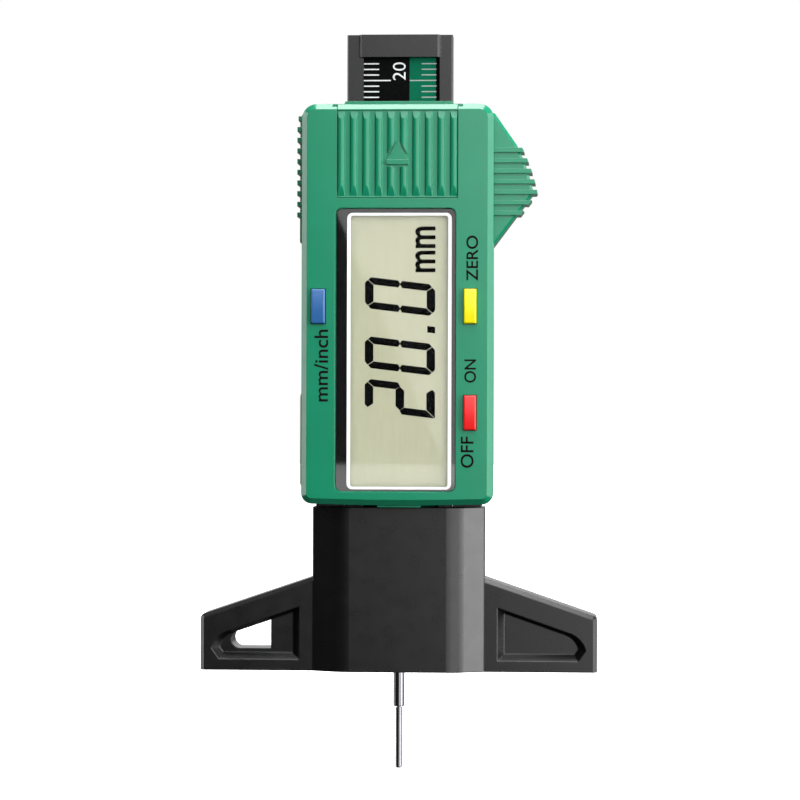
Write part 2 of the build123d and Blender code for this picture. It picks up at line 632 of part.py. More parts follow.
# ---- fixings ------------------------------------------------------------------------------------
def screw_y(x, z, radius, tip, head_radius, head_front, head_back):
    """Round-headed screw along Y, driven from behind, with a cross recess."""
    shank = rod_y(x, z, radius, tip, head_front)
    head = rod_y(x, z, head_radius, head_front, head_back)
    arm = head_radius * 0.55
    slot = block(x - arm, x + arm, head_back - 0.5, head_back + 1, z - 0.22, z + 0.22)
    cross = block(x - 0.22, x + 0.22, head_back - 0.5, head_back + 1, z - arm, z + arm)
    return shank + head - slot - cross


def shell_screws():
    return Compound([screw_y(x, z, SHELL_SCREW, SHELL_SCREW_TIP, 1.8, SHELL_HEAD_SEAT, 3.8)
                     for x, z in both_sides(FIXING_X, SHELL_SCREW_Z)])


def board_screws():
    return Compound([screw_y(x, z, BOARD_SCREW, BOARD_SCREW_TIP, 1.2, BOARD_BACK, BOARD_HEAD_BACK)
                     for x, z in both_sides(FIXING_X, BOARD_SCREW_Z)])


def beam_spring():
    """Bowed leaf spring behind the beam: its ends rest in the rear shell, its crown on the beam."""
    crown = BEAM_BACK + 0.02
    outer = ThreePointArc((3.45, 60.6), (crown, 69.0), (3.45, 77.4))
    inner = ThreePointArc((3.45, 76.4), (crown + 0.25, 69.0), (3.45, 61.6))
    ends = [Line((3.45, 77.4), (3.45, 76.4)), Line((3.45, 61.6), (3.45, 60.6))]
    face = make_face(outer.edges() + inner.edges() + ends[0].edges() + ends[1].edges())
    side = Plane(origin=(-3, 0, 0), x_dir=(0, 1, 0), z_dir=(1, 0, 0))
    return extrude(side * face, 6)


# ---- output -------------------------------------------------------------------------------------
def main():
    os.makedirs("parts", exist_ok=True)
    write("front_shell", front_shell())
    write("rear_shell", rear_shell())
    write("display_lens", display_lens())
    write("lcd_panel", lcd_panel())
    write("lcd_holder", lcd_holder())
    write("contact_rubber", contact_rubber())
    write("circuit_board", circuit_board())
    write("controller_chip", controller_chip())
    write("key_switches", key_switches())
    write("mode_button", button(0, -15.1, -11.6))
    write("zero_button", button(1, 11.75, 14.9))
    write("power_button", button(2, 11.75, 14.9))
    write("mode_plunger", plunger(0))
    write("zero_plunger", plunger(1))
    write("power_plunger", plunger(2))
    write("button_cell", button_cell())
    write("battery_contact_negative", battery_contact_negative())
    write("battery_contact_positive", battery_contact_positive())
    write("battery_cover", battery_cover())
    write("beam", beam())
    write("stator_board", stator_board())
    write("scale_label", scale_label())
    write("probe_shank", probe_shank())
    write("probe_pin", probe_pin())
    write("probe_set_screw", probe_set_screw())
    write("foot_body", foot_body())
    write("probe_bush", probe_bush())
    write("shell_screws", shell_screws())
    write("board_screws", board_screws())
    write("beam_spring", beam_spring())


main()
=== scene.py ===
import math

import bmesh
import bpy
from mathutils import Matrix, Vector


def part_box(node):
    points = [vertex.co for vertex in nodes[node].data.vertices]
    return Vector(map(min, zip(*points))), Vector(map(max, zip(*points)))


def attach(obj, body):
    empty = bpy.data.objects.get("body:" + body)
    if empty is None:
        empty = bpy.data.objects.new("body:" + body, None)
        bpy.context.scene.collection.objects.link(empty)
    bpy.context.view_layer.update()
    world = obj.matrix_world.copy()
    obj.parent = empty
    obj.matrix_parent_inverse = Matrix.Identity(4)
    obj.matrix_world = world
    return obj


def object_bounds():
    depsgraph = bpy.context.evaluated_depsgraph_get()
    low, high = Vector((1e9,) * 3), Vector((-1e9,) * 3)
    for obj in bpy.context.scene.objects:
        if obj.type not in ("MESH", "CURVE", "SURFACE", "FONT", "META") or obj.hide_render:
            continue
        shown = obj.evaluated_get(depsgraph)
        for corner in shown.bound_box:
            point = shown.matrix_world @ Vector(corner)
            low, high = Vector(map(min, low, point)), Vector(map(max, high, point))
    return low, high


# Looks of the tyre tread depth gauge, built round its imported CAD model. +Z runs up the beam and the display
# faces -Y. Sizes are in millimetres, which MM turns into metres, unless a comment says otherwise.

MM = 0.001
INK = 0.012                   # thickness of printed ink
MIRROR_RELIEF = 0.00001       # relief of coated faces that mirror the lamps cleanly
READING_UP = Matrix(((0, -1, 0), (0, 0, -1), (1, 0, 0)))   # text runs up +Z, its top is towards -X

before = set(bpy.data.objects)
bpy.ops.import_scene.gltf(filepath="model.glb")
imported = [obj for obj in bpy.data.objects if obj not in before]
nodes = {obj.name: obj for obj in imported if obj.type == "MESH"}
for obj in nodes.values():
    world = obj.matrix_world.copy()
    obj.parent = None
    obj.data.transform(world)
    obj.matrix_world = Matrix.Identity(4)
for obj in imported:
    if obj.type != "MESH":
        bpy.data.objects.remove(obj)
cad_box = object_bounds()


# ---- small helpers --------------------------------------------------------------------------------
def srgb(red, green, blue):
    """A colour given as 0 to 255 on a display, as the linear colour that shaders use."""
    def linear(value):
        value /= 255
        return value / 12.92 if value <= 0.04045 else ((value + 0.055) / 1.055) ** 2.4
    return (linear(red), linear(green), linear(blue), 1)


def scaled(colour, factor):
    return tuple(min(1, channel * factor) for channel in colour[:3]) + (1,)


def box_mm(node):
    """Lowest and highest corner of a CAD node, in millimetres."""
    low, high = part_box(node)
    return low / MM, high / MM


def add_piece(name, mesh, body, material):
    """Makes a mesh a piece that rides on a body."""
    piece = bpy.data.objects.new(name, mesh)
    bpy.context.scene.collection.objects.link(piece)
    mesh.materials.clear()
    mesh.materials.append(material)
    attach(piece, body)
    return piece


# ---- shader building ------------------------------------------------------------------------------
class Shader:
    """A material under construction: a Principled shader and the nodes that feed it."""

    def __init__(self, name, roughness, **constants):
        self.material = bpy.data.materials.new(name)
        self.material.use_nodes = True
        self.tree = self.material.node_tree
        self.surface = self.tree.nodes["Principled BSDF"]
        self.surface.inputs["Roughness"].default_value = roughness
        for socket, value in constants.items():
            self.surface.inputs[socket.replace("_", " ")].default_value = value
        self.place = self.add("ShaderNodeTexCoord").outputs["Object"]

    def add(self, kind, **settings):
        node = self.tree.nodes.new(kind)
        for key, value in settings.items():
            setattr(node, key, value)
        return node

    def link(self, source, target):
        self.tree.links.new(source, target)

    def noise(self, grain_mm, detail=2.0, stretch=(1, 1, 1)):
        """Noise whose lumps are about grain_mm across, drawn out along an axis by stretch."""
        mapping = self.add("ShaderNodeMapping")
        mapping.inputs["Scale"].default_value = stretch
        self.link(self.place, mapping.inputs["Vector"])
        texture = self.add("ShaderNodeTexNoise")
        texture.inputs["Scale"].default_value = 1 / (grain_mm * MM)
        texture.inputs["Detail"].default_value = detail
        self.link(mapping.outputs["Vector"], texture.inputs["Vector"])
        return texture.outputs[0]

    def ramp(self, value, low, high):
        """Maps 0.3 to 0.7 of a noise onto two numbers."""
        node = self.add("ShaderNodeMapRange", clamp=True)
        node.inputs["From Min"].default_value = 0.3
        node.inputs["From Max"].default_value = 0.7
        node.inputs["To Min"].default_value = low
        node.inputs["To Max"].default_value = high
        self.link(value, node.inputs["Value"])
        return node.outputs["Result"]

    def blend(self, factor, first, second):
        """Colour between two colours or colour outputs."""
        node = self.add("ShaderNodeMix", data_type="RGBA")
        self.link(factor, node.inputs["Factor"])
        for index, colour in ((6, first), (7, second)):
            if isinstance(colour, tuple):
                node.inputs[index].default_value = colour
            else:
                self.link(colour, node.inputs[index])
        return node.outputs[2]

    def beyond(self, axis, limit_mm, softness_mm=0.01):
        """1 past a place on an axis of the frame, 0 before it."""
        split = self.add("ShaderNodeSeparateXYZ")
        self.link(self.place, split.inputs[0])
        node = self.add("ShaderNodeMapRange", clamp=True)
        node.inputs["From Min"].default_value = (limit_mm - softness_mm) * MM
        node.inputs["From Max"].default_value = (limit_mm + softness_mm) * MM
        self.link(split.outputs[axis], node.inputs["Value"])
        return node.outputs["Result"]

    def colour(self, source):
        self.link(source, self.surface.inputs["Base Color"])

    def roughness(self, source):
        self.link(source, self.surface.inputs["Roughness"])

    def bump(self, height, depth_mm, edge_mm=0):
        """Fine relief, on edges that are softened by edge_mm."""
        node = self.add("ShaderNodeBump")
        node.inputs["Strength"].default_value = 1
        node.inputs["Distance"].default_value = depth_mm * MM
        self.link(height, node.inputs["Height"])
        if edge_mm:
            bevel = self.add("ShaderNodeBevel", samples=6)
            bevel.inputs["Radius"].default_value = edge_mm * MM
            self.link(bevel.outputs["Normal"], node.inputs["Normal"])
        self.link(node.outputs["Normal"], self.surface.inputs["Normal"])


def moulded(name, colour, roughness, grain_mm=0.5, depth_mm=0.004, edge_mm=0.12, **constants):
    """Moulded plastic: flow-like colour drift, uneven gloss and a fine spark-eroded grain."""
    shader = Shader(name, roughness, **constants)
    drift = shader.ramp(shader.noise(9, 3), 0, 1)
    shader.colour(shader.blend(drift, scaled(colour, 0.96), scaled(colour, 1.04)))
    shader.roughness(shader.ramp(shader.noise(2.5, 4), roughness * 0.92, roughness * 1.08))
    shader.bump(shader.noise(grain_mm, 3), depth_mm, edge_mm)
    return shader.material


def metal(name, colour, roughness, scratch=(1, 1, 0.04), depth_mm=0.0006):
    """Turned or drawn metal: fine scratches along one direction and patches of duller finish."""
    shader = Shader(name, roughness, Metallic=1.0)
    patches = shader.ramp(shader.noise(3, 3), 0, 1)
    shader.colour(shader.blend(patches, scaled(colour, 0.93), scaled(colour, 1.03)))
    scratches = shader.noise(0.12, 2, scratch)
    shader.roughness(shader.ramp(scratches, roughness * 0.8, roughness * 1.35))
    shader.bump(scratches, depth_mm)
    return shader.material


def laminate():
    """Circuit board: green solder mask over copper tracks."""
    shader = Shader("laminate", 0.35)
    tracks = shader.add("ShaderNodeTexBrick", offset=0.37, squash=1.6, squash_frequency=3)
    turn = shader.add("ShaderNodeMapping")
    turn.inputs["Rotation"].default_value = (math.radians(90), 0, 0)
    shader.link(shader.place, turn.inputs["Vector"])
    shader.link(turn.outputs["Vector"], tracks.inputs["Vector"])
    tracks.inputs["Scale"].default_value = 420
    tracks.inputs["Mortar Size"].default_value = 0.09
    tracks.inputs["Color1"].default_value = srgb(16, 70, 44)
    tracks.inputs["Color2"].default_value = srgb(14, 62, 40)
    tracks.inputs["Mortar"].default_value = srgb(32, 104, 62)
    shader.colour(tracks.outputs["Color"])
    shader.roughness(shader.ramp(shader.noise(1.2, 3), 0.28, 0.42))
    shader.bump(tracks.outputs["Fac"], 0.01)
    return shader.material


def striped_rubber():
    """Connector rubber: thin conducting layers between clear ones."""
    shader = Shader("striped_rubber", 0.7)
    waves = shader.add("ShaderNodeTexWave", wave_type="BANDS", bands_direction="Z")
    waves.inputs["Scale"].default_value = 900
    shader.link(shader.place, waves.inputs["Vector"])
    shader.colour(shader.blend(waves.outputs["Fac"], srgb(24, 24, 26), srgb(168, 166, 158)))
    shader.bump(shader.noise(0.3, 2), 0.004)
    return shader.material


def label_film():
    """Scale label: black print with a green band, under a matt film."""
    shader = Shader("label_film", 0.42, Specular_IOR_Level=0.02)
    grain = shader.ramp(shader.noise(0.35, 2), 0, 1)
    black = shader.blend(grain, srgb(7, 7, 8), srgb(12, 12, 13))
    green = shader.blend(grain, srgb(9, 92, 67), srgb(13, 98, 72))
    band = shader.blend(shader.beyond("X", BAND_LEFT), black, green)
    shader.colour(shader.blend(shader.beyond("X", BAND_RIGHT), band, black))
    shader.roughness(shader.ramp(shader.noise(1.1, 3), 0.36, 0.5))
    shader.bump(shader.noise(0.2, 2), 0.0015)
    return shader.material


def crystal_glass():
    """The display as seen through its polariser: pale grey-green, a little silky."""
    shader = Shader("crystal_glass", 0.5, **CLEAR_COAT)
    silk = shader.ramp(shader.noise(0.5, 3, (1, 1, 0.15)), 0, 1)
    shader.colour(shader.blend(silk, srgb(143, 144, 119), srgb(147, 148, 123)))
    shader.roughness(shader.ramp(shader.noise(0.8, 3), 0.45, 0.6))
    shader.bump(shader.noise(0.15, 2), MIRROR_RELIEF)
    return shader.material


def clear_plastic():
    """The lens: clear acrylic that lets the lamps through to the parts behind it."""
    shader = Shader("clear_plastic", 0.02, Transmission_Weight=1.0, IOR=1.08)
    shader.roughness(shader.ramp(shader.noise(4, 4), 0.012, 0.03))
    shader.bump(shader.noise(6, 2), 0.0008)
    output = shader.tree.nodes["Material Output"]
    path = shader.add("ShaderNodeLightPath")
    clear = shader.add("ShaderNodeBsdfTransparent")
    mix = shader.add("ShaderNodeMixShader")
    shader.link(path.outputs["Is Shadow Ray"], mix.inputs[0])
    shader.link(shader.surface.outputs[0], mix.inputs[1])
    shader.link(clear.outputs[0], mix.inputs[2])
    shader.link(mix.outputs[0], output.inputs["Surface"])
    return shader.material


def ink(name, colour, roughness=0.5, depth_mm=0.001, **constants):
    """Screen-printed ink: slightly uneven cover."""
    shader = Shader(name, roughness, **constants)
    cover = shader.ramp(shader.noise(0.25, 3), 0, 1)
    shader.colour(shader.blend(cover, scaled(colour, 0.93), scaled(colour, 1.03)))
    shader.roughness(shader.ramp(shader.noise(0.6, 2), roughness * 0.9, roughness * 1.1))
    shader.bump(shader.noise(0.1, 2), depth_mm)
    return shader.material


def key_gloss(name, colour):
    return moulded(name, colour, 0.22, grain_mm=0.8, depth_mm=0.0015, edge_mm=0.15)


# ---- materials of the CAD nodes -------------------------------------------------------------------
BAND_LEFT = 1.7               # the label's green band
BAND_RIGHT = 6.4
CLEAR_COAT = {"Coat_Weight": 1.0, "Coat_Roughness": 0.02, "Coat_IOR": 2.1}

GREEN = moulded("green_plastic", srgb(17, 129, 94), 0.18)
BLACK_FOOT = moulded("black_foot_plastic", srgb(9, 9, 10), 0.29, grain_mm=0.35, depth_mm=0.004,
                     edge_mm=0.25, Specular_IOR_Level=0.6)
BLACK_BEAM = moulded("black_beam_plastic", srgb(12, 12, 12), 0.28, grain_mm=0.3, depth_mm=0.004,
                     edge_mm=0.05, Specular_IOR_Level=0.55)
STEEL = metal("hardened_steel", srgb(120, 120, 123), 0.12)
SPRING_METAL = metal("nickel_plate", srgb(196, 190, 176), 0.28, scratch=(0.05, 1, 1))
SCREW_METAL = metal("zinc_screw", srgb(176, 178, 184), 0.34)
BRASS = metal("brass", srgb(206, 164, 84), 0.3)
CELL_CAN = metal("cell_can", srgb(214, 214, 216), 0.24, scratch=(1, 0.3, 0.05))
BOARD = laminate()
GREY_FRAME = moulded("grey_frame_plastic", srgb(96, 98, 100), 0.5)
SWITCH_BODY = moulded("switch_plastic", srgb(58, 58, 62), 0.45, grain_mm=0.3)
RESIN = moulded("black_resin", srgb(14, 14, 15), 0.2, grain_mm=2.4, depth_mm=0.05)
RUBBER = striped_rubber()
LABEL = label_film()
CRYSTAL = crystal_glass()
CLEAR = clear_plastic()
BLUE_KEY = key_gloss("blue_key_plastic", srgb(46, 98, 156))
YELLOW_KEY = key_gloss("yellow_key_plastic", srgb(240, 228, 6))
RED_KEY = key_gloss("red_key_plastic", srgb(226, 26, 28))
BLACK_INK = ink("black_ink", srgb(6, 6, 7), 0.6, Specular_IOR_Level=0.1)
MASK_INK = ink("mask_ink", srgb(5, 5, 6), 0.8, depth_mm=MIRROR_RELIEF, Specular_IOR_Level=0.02,
               **CLEAR_COAT)
# painted shadow: black for the strip beside the scale label, in place of the right rail's shade
GAP_SHADOW_PAINT = ink("painted_gap_shadow", srgb(7, 7, 8), 0.7, Specular_IOR_Level=0.02)
WHITE_INK = ink("white_ink", srgb(222, 222, 222))
FRAME_INK = ink("frame_ink", srgb(196, 196, 196))
GREY_INK = ink("grey_ink", srgb(150, 160, 155))
SEGMENT_INK = ink("segment_black", srgb(5, 5, 6), 0.8, Specular_IOR_Level=0.02)

NODE_MATERIALS = {
    "front_shell": GREEN, "rear_shell": GREEN, "battery_cover": GREEN,
    "foot_body": BLACK_FOOT, "beam": BLACK_BEAM,
    "display_lens": CLEAR, "lcd_panel": CRYSTAL, "lcd_holder": GREY_FRAME,
    "contact_rubber": RUBBER, "circuit_board": BOARD, "stator_board": BOARD,
    "controller_chip": RESIN, "key_switches": SWITCH_BODY,
    "mode_plunger": SWITCH_BODY, "zero_plunger": SWITCH_BODY, "power_plunger": SWITCH_BODY,
    "mode_button": BLUE_KEY, "zero_button": YELLOW_KEY, "power_button": RED_KEY,
    "button_cell": CELL_CAN, "battery_contact_negative": SPRING_METAL,
    "battery_contact_positive": SPRING_METAL, "beam_spring": SPRING_METAL,
    "scale_label": LABEL, "probe_shank": STEEL, "probe_pin": STEEL,
    "probe_set_screw": SCREW_METAL, "shell_screws": SCREW_METAL, "board_screws": SCREW_METAL,
    "probe_bush": BRASS,
}


def paint_nodes():
    for name, material in NODE_MATERIALS.items():
        slots = nodes[name].data.materials
        if not slots:
            slots.append(material)
        for index in range(len(slots)):
            slots[index] = material


# ---- flat shapes ----------------------------------------------------------------------------------
def finished(form, name):
    """The mesh of a form, which is used up."""
    bmesh.ops.recalc_face_normals(form, faces=form.faces)
    mesh = bpy.data.meshes.new(name)
    form.to_mesh(mesh)
    form.free()
    return mesh


def plate(name, outlines, front, thickness):
    """A thin mesh in X and Z from closed outlines in millimetres, with its face at y = front."""
    form = bmesh.new()
    for outline in outlines:
        near = [form.verts.new((x * MM, front * MM, z * MM)) for x, z in outline]
        far = [form.verts.new((x * MM, (front + thickness) * MM, z * MM)) for x, z in outline]
        form.faces.new(near)
        form.faces.new(list(reversed(far)))
        for k in range(len(near)):
            after = (k + 1) % len(near)
            form.faces.new((near[after], near[k], far[k], far[after]))
    return finished(form, name)


def corner_loop(x0, x1, z0, z1, radius, steps=8):
    """Points round a rectangle with round corners."""
    centres = ((x1 - radius, z0 + radius), (x1 - radius, z1 - radius),
               (x0 + radius, z1 - radius), (x0 + radius, z0 + radius))
    points = []
    for quarter, (x, z) in enumerate(centres):
        for k in range(steps + 1):
            angle = math.radians(90 * (quarter - 1 + k / steps))
            points.append((x + radius * math.cos(angle), z + radius * math.sin(angle)))
    return points


def ring(name, outer, inner, front, thickness):
    """A flat frame between two loops with the same number of points."""
    form = bmesh.new()
    loops = [[form.verts.new((x * MM, y * MM, z * MM)) for x, z in loop]
             for loop, y in ((outer, front), (inner, front), (inner, front + thickness),
                             (outer, front + thickness))]
    count = len(outer)
    for first, second in zip(loops, loops[1:] + loops[:1]):
        for k in range(count):
            after = (k + 1) % count
            form.faces.new((first[k], first[after], second[after], second[k]))
    return finished(form, name)


def lettering(name, text, x0, x1, z0, z1, front, weight=0.012):
    """Letters that read up +Z, fitted to a box in X and Z, as a thin mesh."""
    curve = bpy.data.curves.new(name, "FONT")
    curve.body = text
    curve.extrude = 0.01       # any depth will do, since it is scaled to INK below
    curve.offset = weight
    curve.resolution_u = 6
    holder = bpy.data.objects.new(name, curve)
    bpy.context.scene.collection.objects.link(holder)
    graph = bpy.context.evaluated_depsgraph_get()
    mesh = bpy.data.meshes.new_from_object(holder.evaluated_get(graph))
    bpy.data.objects.remove(holder)
    bpy.data.curves.remove(curve)
    low = [min(v.co[axis] for v in mesh.vertices) for axis in range(3)]
    high = [max(v.co[axis] for v in mesh.vertices) for axis in range(3)]
    sizes = (z1 - z0, x1 - x0, INK)
    for vertex in mesh.vertices:
        run, rise, out = ((vertex.co[axis] - low[axis]) / (high[axis] - low[axis]) * sizes[axis]
                          for axis in range(3))
        vertex.co = (READING_UP @ Vector((run, rise, out)) + Vector((x1, front, z0))) * MM
    mesh.name = name
    return mesh


# ---- display: lens print and liquid-crystal marks -------------------------------------------------
WINDOW = (-8.25, 9.0, 33.1, 80.97)        # clear part of the lens: left, right, bottom, top
FRAME_LINE_SIDES = 0.62                   # width of the white line round it
FRAME_LINE_ENDS = 0.48
BORDER_MARGIN = 0.12                      # the black print stops this far inside the lens's edge
WINDOW_RADIUS = 0.45                      # corners of the window, of the line and of the print
LINE_RADIUS = 1.0
BORDER_RADIUS = 1.05
BORDER_LIFT = 0.02                        # fronts of the prints, ahead of the lens's back
BORDER_THICKNESS = 0.015
LINE_LIFT = 0.035
LINE_THICKNESS = 0.012


def display_print():
    low, high = box_mm("display_lens")
    back = high.y
    window = corner_loop(*WINDOW, WINDOW_RADIUS)
    left, right, bottom, top = WINDOW
    line = corner_loop(left - FRAME_LINE_SIDES, right + FRAME_LINE_SIDES,
                       bottom - FRAME_LINE_ENDS, top + FRAME_LINE_ENDS, LINE_RADIUS)
    border = corner_loop(low.x + BORDER_MARGIN, high.x - BORDER_MARGIN, low.z + BORDER_MARGIN,
                         high.z - BORDER_MARGIN, BORDER_RADIUS)
    prints = (("lens_border_print", border, BORDER_LIFT, BORDER_THICKNESS, MASK_INK),
              ("lens_frame_line", line, LINE_LIFT, LINE_THICKNESS, FRAME_INK))
    for name, outer, lift, thickness, material in prints:
        add_piece(name, ring(name, outer, window, back - lift, thickness), "housing", material)


DIGIT_HEIGHT = 12.45
DIGIT_WIDTH = 5.6
DIGIT_SLANT = 0.119           # run gained for each unit of rise
BAR_FLAT = 1.52               # thickness of the segments that lie across a digit
BAR_UPRIGHT = 1.27            # thickness of the segments that stand along it
UPRIGHT_TAPER = 0.36          # the upright segments reach their full thickness this far from the middle
TIP_OVERLAP = 0.06            # their tips just meet there
DIGIT_CHAMFER = 1.0
SEGMENT_GAP = 0.07            # half of the gap between two segments
DIGIT_BASE = 6.69             # x of the digits' lower ends
SEGMENTS = {"2": "abged", "0": "abcdef"}
DIGIT_PLACES = ((45.15, "2"), (52.68, "0"), (63.18, "0"))   # z where each digit starts
POINT_PLACE = 60.2
POINT_WIDTH = 1.15
POINT_HEIGHT = 1.4
UNIT_BOX = (3.1, 6.7, 71.0, 79.1)         # left, right, bottom, top


def quarter(points, flip_run, flip_rise):
    """Mirrors points given for a digit's upper left part to one of its other corners."""
    moved = [(DIGIT_WIDTH - run if flip_run else run, DIGIT_HEIGHT - rise if flip_rise else rise)
             for run, rise in points]
    return moved[::-1] if flip_run != flip_rise else moved


def segment_outline(segment, digit):
    """Outline of one segment of a digit, in its own run and rise."""
    sharp = digit == "2"
    middle, top = DIGIT_HEIGHT / 2, DIGIT_HEIGHT
    half_bar = BAR_FLAT / 2
    corner = 0 if sharp else DIGIT_CHAMFER
    gap = SEGMENT_GAP
    if segment in "ad":
        flip = segment == "d"
        left, right = (corner, DIGIT_CHAMFER) if flip else (DIGIT_CHAMFER, DIGIT_CHAMFER)
        points = [(left / 2 + gap, top - left / 2), (left + gap, top), (DIGIT_WIDTH - right - gap, top),
                  (DIGIT_WIDTH - right / 2 - gap, top - right / 2),
                  (DIGIT_WIDTH - BAR_UPRIGHT - gap, top - BAR_FLAT),
                  (BAR_UPRIGHT + gap, top - BAR_FLAT)]
        return quarter(points, False, flip)
    if segment == "g":
        return [(BAR_UPRIGHT / 2 + gap, middle), (BAR_UPRIGHT + gap, middle + half_bar),
                (DIGIT_WIDTH - BAR_UPRIGHT - gap, middle + half_bar),
                (DIGIT_WIDTH - BAR_UPRIGHT / 2 - gap, middle),
                (DIGIT_WIDTH - BAR_UPRIGHT - gap, middle - half_bar),
                (BAR_UPRIGHT + gap, middle - half_bar)]
    size = corner if segment == "e" else DIGIT_CHAMFER
    inner = half_bar if "g" in SEGMENTS[digit] else UPRIGHT_TAPER
    points = [(0, middle + UPRIGHT_TAPER), (0, top - size - gap), (size / 2, top - size / 2 - gap),
              (BAR_UPRIGHT, top - BAR_FLAT - gap), (BAR_UPRIGHT, middle + inner),
              (BAR_UPRIGHT / 2, middle - TIP_OVERLAP)]
    return quarter(points, segment in "bc", segment in "ce")


def slanted(outline, start):
    """Places a digit's outline on the display, leaning as its digits do."""
    return [(DIGIT_BASE - rise, start + run + DIGIT_SLANT * rise) for run, rise in outline]


def lcd_marks():
    face = box_mm("lcd_panel")[0].y - INK
    outlines = [slanted(segment_outline(segment, digit), start)
                for start, digit in DIGIT_PLACES for segment in SEGMENTS[digit]]
    point = ((0, 0), (POINT_WIDTH, 0), (POINT_WIDTH, POINT_HEIGHT), (0, POINT_HEIGHT))
    outlines.append(slanted(point, POINT_PLACE))
    add_piece("lcd_digits", plate("lcd_digits", outlines, face, INK), "housing", SEGMENT_INK)
    unit = lettering("lcd_unit_mark", "mm", *UNIT_BOX, face + INK, weight=0.02)
    add_piece("lcd_unit_mark", unit, "housing", SEGMENT_INK)


# ---- printed key names ----------------------------------------------------------------------------
# piece, word, and the left, right, bottom and top of its print
KEY_NAMES = (("unit_key_name", "mm/inch", -14.6, -12.1, 48.1, 60.8),
             ("zero_key_name", "ZERO", 12.2, 14.3, 69.4, 77.4),
             ("power_key_name_on", "ON", 11.9, 14.0, 51.5, 55.6),
             ("power_key_name_off", "OFF", 11.3, 13.6, 36.5, 42.0))


def key_names():
    front = box_mm("display_lens")[0].y
    for name, text, *limits in KEY_NAMES:
        add_piece(name, lettering(name, text, *limits, front), "housing", BLACK_INK)


# ---- scale on the beam ----------------------------------------------------------------------------
SCALE_ZERO = 85.6             # height of the zero line while the probe is out as stored
SCALE_END = 24
GAP_SHADOW_WIDTH = 0.55           # painted shadow: a black strip beside the label, where the right rail shades the gap
GAP_SHADOW_THICKNESS = 0.05
TICK_THICK = 0.22
TICK_THICK_GREY = 0.2
TICK_INSET = 0.02             # the lines stop this far from the label's sides
LABEL_END_GAP = 0.4           # no line comes nearer to the label's upper end
WHITE_LENGTHS = (4.85, 3.7, 2.75)         # every tenth line, every fifth and the rest
GREY_STARTS = (BAND_LEFT, 2.8, 3.85)      # x, in the same order
NUMBER_LEFT = -1.3
NUMBER_RIGHT = 1.0
NUMBER_RISE = 0.05            # a number starts this far above its line
NUMBER_WIDTHS = {1: 1.5, 2: 3.2}          # by its count of digits


def bar(x0, x1, z, thick):
    return [(x0, z - thick / 2), (x1, z - thick / 2), (x1, z + thick / 2), (x0, z + thick / 2)]


def scale_marks():
    low, high = box_mm("scale_label")
    face = low.y - INK
    left, right = low.x + TICK_INSET, high.x - TICK_INSET
    white, grey = [], []
    for value in range(SCALE_END + 1):
        z = SCALE_ZERO + value
        if z > high.z - LABEL_END_GAP:
            break
        rank = 0 if value % 10 == 0 else 1 if value % 5 == 0 else 2
        white.append(bar(left, left + WHITE_LENGTHS[rank], z, TICK_THICK))
        grey.append(bar(GREY_STARTS[rank], right, z, TICK_THICK_GREY))
        if rank == 0:
            name = f"scale_number_{value}"
            bottom = z + NUMBER_RISE
            top = bottom + NUMBER_WIDTHS[len(str(value))]
            mesh = lettering(name, str(value), NUMBER_LEFT, NUMBER_RIGHT, bottom, top, face + INK,
                             weight=-0.004)
            add_piece(name, mesh, "slider", WHITE_INK)
    # a black sheet beside the label paints the shadow that the right rail casts into the gap
    beside = high.x + GAP_SHADOW_WIDTH
    gap_shadow_outline = [(high.x, low.z), (beside, low.z), (beside, high.z), (high.x, high.z)]
    prints = (("scale_painted_gap_shadow", [gap_shadow_outline], low.y, GAP_SHADOW_THICKNESS, GAP_SHADOW_PAINT),
              ("scale_lines_left", white, face, INK, WHITE_INK),
              ("scale_lines_right", grey, face, INK, GREY_INK))
    for name, outlines, front, thickness, material in prints:
        add_piece(name, plate(name, outlines, front, thickness), "slider", material)


# ---- stage, light and camera ----------------------------------------------------------------------
CAMERA_PLACE = Vector((29.3, -523.5, 48.42)) * MM
CAMERA_AIM = Vector((0.235, -3.5, 48.42)) * MM
CAMERA_LENS = 131.35
CAMERA_ROLL = 0.17            # degrees
LIT_PLACE = Vector((0, 0, 50)) * MM       # the lamps point here
CARD_PLANE = -600             # the front card stands here, behind the camera
CARD_LENGTH = 0.9             # metres
CARD_RISE = 0.1               # metres, up along its slanting edge
CARD_BANDS = ((0.0, 0.05, 1.05), (0.05, 0.9, 2.5))   # from and to, in metres, and brightness
EDGE_UPPER = (-10.6, 81.1)    # places on the lens, x and z, where the card's slanting edge shows
EDGE_LOWER = (8.9, 36.05)
WORLD_DIM = 0.05              # brightness of the surroundings away from the white part
FLOOR_RADIUS = 2.5            # metres
FLOOR_GAP = 0.0005            # metres between the probe's tip and the floor
# name, place, width and height in metres, and brightness
SOFTBOXES = (("right_softbox", (0.75, -0.42, 0.12), 0.5, 0.9, 6.5),
             ("right_side_softbox", (0.88, 0.08, 0.12), 0.3, 0.9, 3.5),
             ("top_softbox", (0.08, 0.0, 0.95), 0.9, 0.5, 9.5),
             ("upper_front_softbox", (0.12, -0.62, 0.66), 0.4, 0.14, 5.0),
             ("left_strip", (-0.9, 0.05, 0.2), 0.2, 0.9, 4.0))


def aim(thing, place, target):
    thing.location = place
    thing.rotation_euler = (target - place).to_track_quat("-Z", "Y").to_euler()


def add_camera():
    data = bpy.data.cameras.new("camera")
    data.lens = CAMERA_LENS
    data.sensor_width = 36
    data.clip_start = 0.01
    data.clip_end = 20
    camera = bpy.data.objects.new("camera", data)
    bpy.context.scene.collection.objects.link(camera)
    aim(camera, CAMERA_PLACE, CAMERA_AIM)
    camera.rotation_euler.rotate_axis("Z", math.radians(CAMERA_ROLL))
    bpy.context.scene.camera = camera


